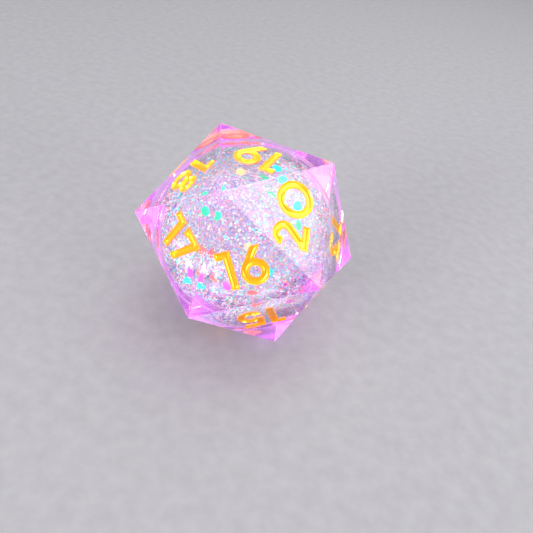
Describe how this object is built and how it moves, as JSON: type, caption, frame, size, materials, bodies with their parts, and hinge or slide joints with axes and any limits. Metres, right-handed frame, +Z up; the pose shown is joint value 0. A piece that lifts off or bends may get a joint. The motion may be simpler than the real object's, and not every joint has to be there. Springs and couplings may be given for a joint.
{
  "type": "polyhedral die",
  "caption": "Sharp-edged clear resin icosahedron die with engraved painted numerals and a sealed ball of swirling liquid and glitter inside.",
  "frame": {"origin": "centre of the face that the die rests on, the one numbered 5", "axes": "+Z up through the middle of the opposite face, numbered 19; two edges of the resting face's outline run so that +Y is corner to corner; the corner shared by faces 16 to 20 leans towards -Y"},
  "size_m": [0.0428, 0.0492, 0.04],
  "materials": {
    "tinted_resin": "clear cast resin with a violet tint, sanded and polished to sharp edges",
    "clear_resin": "clear cast resin, as moulded",
    "core_liquid": "clear liquid full of fine iridescent glitter",
    "gold_paint": "glossy golden-yellow paint in an engraved groove",
    "aqua_flake": "iridescent film flake",
    "green_flake": "iridescent film flake",
    "pink_flake": "iridescent film flake",
    "coral_flake": "iridescent film flake",
    "cream_flake": "iridescent film flake",
    "lilac_flake": "iridescent film flake"
  },
  "bodies": {
    "die": {"die_body": "tinted_resin", "core_shell_upper": "clear_resin", "core_shell_lower": "clear_resin", "fill_plug": "clear_resin", "numeral_01": "gold_paint", "numeral_02": "gold_paint", "numeral_03": "gold_paint", "numeral_04": "gold_paint", "numeral_05": "gold_paint", "numeral_06": "gold_paint", "numeral_07": "gold_paint", "numeral_08": "gold_paint", "numeral_09": "gold_paint", "numeral_10": "gold_paint", "numeral_11": "gold_paint", "numeral_12": "gold_paint", "numeral_13": "gold_paint", "numeral_14": "gold_paint", "numeral_15": "gold_paint", "numeral_16": "gold_paint", "numeral_17": "gold_paint", "numeral_18": "gold_paint", "numeral_19": "gold_paint", "numeral_20": "gold_paint"},
    "liquid": {"core_liquid": "core_liquid", "flakes_aqua": "aqua_flake", "flakes_green": "green_flake", "flakes_pink": "pink_flake", "flakes_coral": "coral_flake", "flakes_cream": "cream_flake", "flakes_lilac": "lilac_flake"}
  },
  "joints": [
    {"name": "core_swirl", "type": "hinge", "parent": "die", "child": "liquid", "pos_m": [0, 0, 0.02], "axis": [0, 0, 1], "continuous": true}
  ]
}
